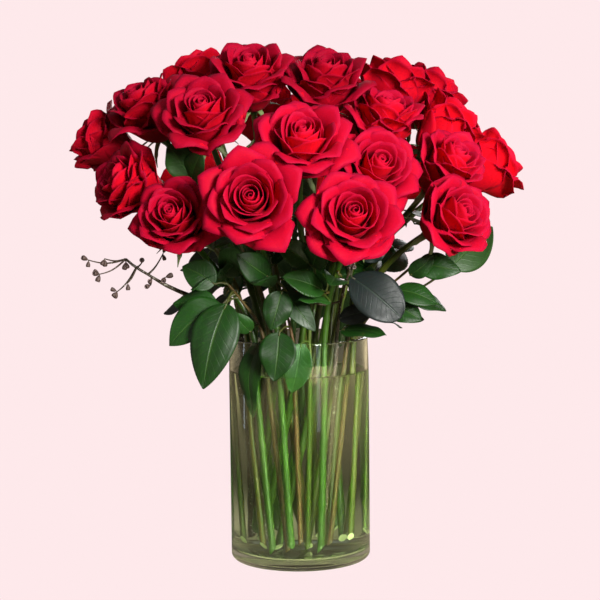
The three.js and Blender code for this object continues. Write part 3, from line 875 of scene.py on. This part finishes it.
def add_bloom(number, material):
    """A bloom of spiralled petals on its CAD cup; those at the left and the top get painted shade, a darker
    petal tone.
    """
    name = f"rose_bloom_{number:02d}"
    foot, axis, height, radius = bloom_place(name)
    across = radius / CUP_SHARE
    scale = 0.5 * across / NOMINAL_RADIUS
    openness = np.clip((across / MM - 60.0) / 18.0, 0.15, 1.0)
    turned = frame_about(axis)
    start = uniform(0.0, 2 * np.pi)
    # painted shade: blooms at the left and at the top get a darker tone, which stands in for the shade they
    # sit in; the rest of the tone differs at random
    painted_shade_left = smoothstep(0.05, 0.15, -foot[0])
    painted_shade_top = 0.8 * smoothstep(0.345, 0.40, foot[2])
    painted_shade = max(painted_shade_left, painted_shade_top)
    tone = 0.8 + 0.2 * uniform() - 0.75 * painted_shade
    builder = Builder()
    for k in range(PETAL_COUNT):
        age = (k / (PETAL_COUNT - 1)) ** 0.92
        opened = age * (0.84 + 0.16 * openness)
        turn = start + k * GOLDEN_ANGLE + random.normal(0.0, 0.10)
        grid, rise, lateral, edge = petal_grid(opened, turn, scale, height / NOMINAL_DEPTH)
        placed = foot + grid @ turned.T
        builder.sheet(placed, PETAL_THICKNESS, along=rise, across=lateral, edge=edge,
                      inner=(1.0 - age) ** 2, tone=tone)
    piece = builder.make(f"petals_{number:02d}", material)
    place_piece(piece, "rose_petal", name)
    return foot, axis, scale


def sepal_grid(length, width, droop, lift):
    """A long narrow sepal that leaves the hip outwards and curls down."""
    rows, columns = 15, 5
    rise = np.linspace(0.0, 1.0, rows)
    lateral = np.linspace(-1.0, 1.0, columns)
    lean = np.radians(np.interp(rise, [0.0, 0.25, 1.0], [lift, 0.5 * (lift + droop), droop]))
    step = length / (rows - 1)
    out = running_total(np.sin(lean[1:])) * step + 4.0 * MM
    up = running_total(np.cos(lean[1:])) * step + 4.0 * MM
    half = 0.5 * width * (1.0 - rise) ** 0.8 * (1.0 + 0.5 * np.exp(-((rise - 0.62) / 0.05) ** 2))
    half = np.maximum(half, 0.25 * MM)
    x = out[:, None] - 0.25 * half[:, None] * lateral[None, :] ** 2
    y = half[:, None] * lateral[None, :]
    z = up[:, None] + 0.0 * lateral[None, :]
    return np.stack([x, y, z], axis=2), lateral[None, :]


def add_rose_stem(number, looks, foot, axis, scale):
    """A stem up to its bloom's foot, with joints, hip, five sepals, leaves and thorns."""
    name = f"rose_stem_{number:02d}"
    line, radius = centreline(name)
    neck = foot - axis * 4 * MM
    line = np.vstack([line[line[:, 2] < neck[2] - 4 * MM], neck, foot + axis * 2 * MM])
    line = resample(line, 4 * MM)
    steps = len(line)
    place = np.linspace(0.0, 1.0, steps)
    radii = radius * (1.02 - 0.18 * place)
    for joint in np.arange(uniform(0.05, 0.15), 0.9, uniform(0.16, 0.24)):
        radii += 0.55 * MM * np.exp(-((place - joint) / 0.008) ** 2)
    tone = uniform(0.0, 1.0) ** 2
    builder = Builder()
    slant = uniform(0, 2 * np.pi)
    builder.tube(line, radii, 12, cut=1.1 * np.array([math.cos(slant), math.sin(slant), 0.0]), tone=tone)

    turned = frame_about(axis)
    builder.lathe(foot - axis * 5 * MM, axis, np.array([
        [0.0, -0.5], [2.6, -0.5], [3.1, 1.5], [4.4, 4.0], [5.6, 7.0], [5.9, 9.5], [5.2, 11.5], [0.0, 12.0],
    ]) * MM, 14, along=0.9, tone=0.0)
    for k in range(5):
        length = uniform(28.0, 36.0) * MM * scale
        grid, lateral = sepal_grid(length, uniform(6.5, 8.0) * MM, uniform(120, 165),
                                   uniform(60, 85))
        angle = 2 * np.pi * k / 5 + random.normal(0.0, 0.12)
        placed = foot + (grid @ spin_about_z(angle).T) @ turned.T
        builder.sheet(placed, SEPAL_THICKNESS, along=0.9, across=lateral, tone=0.0, edge=0.35)
    leaves = leaf_places(name, line)
    if leaves:
        add_leaves(f"rose_{number:02d}", "rose", leaves, line, looks, builder, 0.15)
    for _ in range(3):
        k = random.integers(int(0.55 * steps), int(0.85 * steps))
        tangent = unit(line[k + 1] - line[k - 1])
        out = unit(np.cross(tangent, random.normal(0.0, 1.0, 3)))
        thorn = [line[k] + out * (radii[k] - 0.6 * MM),
                 line[k] + out * (radii[k] + 1.6 * MM) - tangent * 0.5 * MM,
                 line[k] + out * (radii[k] + 4.0 * MM) - tangent * 2.2 * MM]
        builder.tube(thorn, [1.7 * MM, 0.9 * MM, 0.12 * MM], 6, along=0.9, tone=1.0)
    piece = builder.make(f"stem_{number:02d}", looks["rose_stem"])
    place_piece(piece, "rose_stem", name)


# --- greens

# A leaf's half width runs as rise ** low * (1 - rise) ** high. tooth: the teeth's
# depth in millimetres. fold: how far its two halves fold up.
LEAF_KINDS = {
    "salal": {"low": 0.55, "high": 0.85, "teeth": 26, "tooth": 0.35, "fold": 0.10},
    "rose": {"low": 0.60, "high": 0.78, "teeth": 15, "tooth": 1.1, "fold": 0.16},
    "eucalyptus": {"low": 0.62, "high": 0.55, "teeth": 0, "tooth": 0.0, "fold": 0.05},
}


def leaf_grid(leaf, kind):
    """A leaf's middle surface: an outline along the midrib, bowed, folded and waved."""
    shape = LEAF_KINDS[kind]
    rows, columns = 54, 13
    rise = np.linspace(0.0, 1.0, rows)
    lateral = np.linspace(-1.0, 1.0, columns)
    up = leaf["tip"] - leaf["base"]
    length = norm(up)
    up = up / length
    normal = unit(leaf["normal"] - up * (leaf["normal"] @ up))
    side = np.cross(up, normal)
    peak = shape["low"] / (shape["low"] + shape["high"])
    top = peak ** shape["low"] * (1.0 - peak) ** shape["high"]
    half = 0.5 * leaf["width"] * rise ** shape["low"] * (1.0 - rise) ** shape["high"] / top
    half = np.maximum(half, 0.35 * MM)
    if shape["teeth"]:
        saw = (rise * shape["teeth"]) % 1.0
        half = half + shape["tooth"] * MM * (saw - 0.5) * np.sin(np.pi * rise) ** 0.5
        half = np.maximum(half, 0.35 * MM)
    across = half[:, None] * lateral[None, :]
    bow = uniform(0.05, 0.13) * length
    lift = bow * np.sin(np.pi * rise ** 0.9)[:, None]
    fold = (shape["fold"] + uniform(-0.03, 0.08)) * np.abs(across) ** 1.15 / (0.01 ** 0.15)
    depth = uniform(0.3, 1.3) * MM
    wave = depth * np.sin(rise * uniform(7, 13) + uniform(0, 6.3))[:, None]
    wave = wave * lateral[None, :] ** 2 * np.sign(lateral)[None, :]
    curl = -uniform(0.0, 0.10) * leaf["width"] * smoothstep(0.4, 1.0, np.abs(lateral))[None, :]
    curl = curl * np.sin(np.pi * rise)[:, None]
    raised = lift + fold + wave + curl
    sway = uniform(-0.04, 0.04) * length * np.sin(np.pi * rise)[:, None]
    grid = (leaf["base"] + up * (length * rise)[:, None, None] + side * (across + sway)[:, :, None]
            + normal * raised[:, :, None])
    return grid, rise[:, None], lateral[None, :]


def add_leaves(name, kind, leaves, stem, looks, stem_builder, hue):
    """A stem's blades as one piece; their stalks are added to the stem."""
    builder = Builder()
    for leaf in leaves:
        grid, rise, lateral = leaf_grid(leaf, kind)
        tone = np.clip(hue + random.normal(0.0, 0.22), 0.0, 1.0)
        builder.sheet(grid, LEAF_THICKNESS, along=rise, across=lateral, tone=tone)
        root = stem[norm(stem - leaf["base"], axis=1).argmin()]
        middle = grid[0].mean(axis=0)
        inside = grid[4].mean(axis=0)
        bow = 0.12 * norm(middle - root) * np.array([0, 0, 1.0])
        petiole = np.vstack([curve_between(root, middle, bow)[:-1], middle, inside])
        stem_builder.tube(petiole, np.linspace(1.15, 0.75, len(petiole)) * MM, 7, along=0.8, tone=0.3)
    piece = builder.make(f"{name}_leaves", looks[kind])
    place_piece(piece, f"{kind}_leaf")


def add_pods(name, centres, stem, material, stem_builder):
    """One to three pear-shaped pods at each centre; their twigs are added to the stem."""
    builder = Builder()
    shape = np.array([[0.0, 0.0], [0.8, 0.1], [1.5, 1.2], [2.2, 3.0], [2.45, 4.4], [2.2, 5.6], [1.9, 6.1],
                      [1.35, 6.0], [1.2, 5.5], [0.0, 5.4]]) * MM
    for centre in centres:
        root = stem[norm(stem - centre, axis=1).argmin()]
        run = centre - root
        sag = 0.10 * norm(run) * np.array([0, 0, -1.0])
        twig = curve_between(root, centre, sag, 9)
        stem_builder.tube(twig, np.linspace(1.0, 0.5, len(twig)) * MM, 6, along=0.8, tone=1.0)
        for _ in range(random.integers(1, 4)):
            direction = unit(unit(run) + random.normal(0.0, 0.6, 3))
            size = uniform(0.75, 1.0)
            foot = centre + direction * 1.2 * MM
            stem_builder.tube([centre - direction * 0.4 * MM, foot + direction * 0.6 * MM],
                              [0.45 * MM, 0.45 * MM], 5, along=0.8, tone=1.0)
            builder.lathe(foot, direction, shape * size, 12)
    piece = builder.make(f"{name}_pods", material)
    place_piece(piece, "eucalyptus_leaf")


def add_sprig(name, kind, looks, hue):
    """A sprig's stem, tapering over its upper half, with its leaves and pods."""
    stem, radius = centreline(name)
    line = resample(stem, 4 * MM)
    steps = len(line)
    place = np.linspace(0.0, 1.0, steps)
    thin = smoothstep(0.5, 1.0, place) * max(0.0, 1.0 - 1.1 * MM / radius)
    radii = radius * (1.0 - thin) + 0.12 * MM * np.sin(place * 60.0)
    builder = Builder()
    builder.tube(line, radii, 10, cut=np.array([0.8, 0.3, 0.0]), tone=uniform(0.4, 1.0))
    leaves = leaf_places(name, stem)
    add_leaves(name, kind, leaves, line, looks, builder, hue)
    centres = pod_places(name)
    if centres:
        add_pods(name, centres, line, looks["pod"], builder)
    piece = builder.make(f"{name}_stem", looks[f"{kind}_stem"])
    place_piece(piece, f"{kind}_leaf", name)


# --- vase and water

def arc(centre, radius, start, end, steps):
    angles = np.radians(np.linspace(start, end, steps))
    return [(centre[0] + radius * math.cos(a), centre[1] + radius * math.sin(a)) for a in angles]


def supported(profile):
    """The profile with a point close to each end of its long stretches, so corners shade crisply."""
    distance = 0.5
    points = [profile[0]]
    for start, end in zip(profile[:-1], profile[1:]):
        length = math.dist(start, end)
        if length > 4 * distance:
            run = (end[0] - start[0], end[1] - start[1])
            for share in (distance / length, 1.0 - distance / length):
                points.append((start[0] + share * run[0], start[1] + share * run[1]))
        points.append(end)
    return points


def turned_body(name, profile, sides, material):
    builder = Builder()
    builder.lathe(np.zeros(3), np.array([0.0, 0.0, 1.0]), np.array(supported(profile)) * MM, sides)
    return builder.make(name, material)


def add_vase(material):
    """The glass as one turned body: rounded heel, thick base, mouth drawn in a little."""
    low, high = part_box("vase")
    radius = high.x / MM
    height = (high.z - low.z) / MM
    wall = 3.0
    base = 10.0
    heel = 5.0
    corner = 5.0
    draw = 1.0
    neck = [(34, 0.0), (20, 0.25), (8, 0.7)]  # distance below the rim, how far drawn in
    inner = radius - wall
    lip = radius - draw - wall / 2
    profile = [(0.0, 0.7), (radius - heel - 6.0, 0.6), (radius - heel, 0.0)]
    profile += arc((radius - heel, heel), heel, -90, 0, 9)[1:]
    profile += [(radius, 0.5 * height)]
    profile += [(radius - drawn, height - below) for below, drawn in neck]
    profile += arc((lip, height - wall / 2), wall / 2, 0, 180, 9)
    profile += [(inner - drawn, height - below) for below, drawn in reversed(neck)]
    profile += [(inner, 0.5 * height)]
    profile += arc((inner - corner, base + corner), corner, 0, -90, 8)
    profile += [(inner - 20.0, base + 0.2), (0.0, base + 0.5)]
    vase = turned_body("glass_vase", profile, 160, material)
    place_piece(vase, "vase_glass", "vase")


def add_water(material):
    """The water as one turned body that reaches into the glass and climbs it at the edge."""
    low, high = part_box("water")
    gap = 0.35  # that the CAD leaves to the glass
    overlap = 0.8
    radius = high.x / MM + gap + overlap
    bottom = low.z / MM - gap
    level = high.z / MM
    corner = 5.0
    profile = [(0.0, bottom - overlap + 0.5), (radius - 20.0, bottom - overlap + 0.2)]
    profile += arc((radius - corner, bottom - overlap + corner), corner, -90, 0, 8)
    profile += [(radius, 0.5 * level), (radius, level + 1.6)]
    profile += [(radius - overlap, level + 1.5), (radius - overlap - 0.6, level + 0.7),
                (radius - overlap - 1.8, level + 0.2), (radius - overlap - 4.0, level), (0.0, level)]
    water = turned_body("clear_water", profile, 160, material)
    place_piece(water, "water", "water")


# --- the scene

# name, kind, and how pale its leaves are (0 to 1)
SPRIGS = [
    ("salal_front_left", "salal", 0.35),
    ("salal_front", "salal", 0.25),
    ("rose_leaf_spray", "rose", 0.45),
    ("eucalyptus_front", "eucalyptus", 0.1),
    ("salal_front_right", "salal", 0.35),
    ("salal_right", "salal", 0.3),
    ("salal_back_right", "salal", 0.3),
    ("eucalyptus_back", "eucalyptus", 0.3),
    ("seeded_eucalyptus_left", "eucalyptus", 0.3),
    ("salal_crown_left", "salal", 0.15),
]
ROSES = 24

add_camera()
set_look()
add_world()
add_floor()
add_lights()

petals = petal_material()
looks = {
    "rose_stem": stem_material(
        "rose_stem", green=(0.030, 0.098, 0.003), other=(0.085, 0.062, 0.006),
        speckle=(0.02, 0.035, 0.004), speckle_amount=0.4),
    "salal": leaf_material(
        "salal_leaf", top=(0.0055, 0.032, 0.0025), underside=(0.018, 0.055, 0.010),
        vein=(0.05, 0.12, 0.02), roughness=0.40, vein_count=9, patches=0.25),
    "rose": leaf_material(
        "rose_leaf", top=(0.008, 0.040, 0.004), underside=(0.022, 0.070, 0.018),
        vein=(0.06, 0.15, 0.03), roughness=0.36, vein_count=8, patches=0.1),
    "eucalyptus": leaf_material(
        "eucalyptus_leaf", top=(0.0065, 0.0125, 0.0115), underside=(0.018, 0.030, 0.026),
        vein=(0.028, 0.048, 0.032), roughness=0.46, vein_count=11, patches=0.7),
    "salal_stem": stem_material(
        "salal_stem", green=(0.035, 0.075, 0.010), other=(0.10, 0.045, 0.014),
        speckle=(0.08, 0.06, 0.03), speckle_amount=0.4),
    "eucalyptus_stem": stem_material(
        "eucalyptus_stem", green=(0.050, 0.055, 0.030), other=(0.050, 0.028, 0.016),
        speckle=(0.42, 0.40, 0.34), speckle_amount=0.9),
    "pod": pod_material(),
}

for number in range(1, ROSES + 1):
    foot, axis, scale = add_bloom(number, petals)
    add_rose_stem(number, looks, foot, axis, scale)
for name, kind, hue in SPRIGS:
    add_sprig(name, kind, looks, hue)
add_vase(clear_material("vase_glass", ior=1.5, tint=(0.94, 0.97, 0.96), shade=(0.84, 0.87, 0.85)))
add_water(clear_material("water", ior=1.333, tint=(0.80, 0.89, 0.64), shade=(0.76, 0.83, 0.60)))
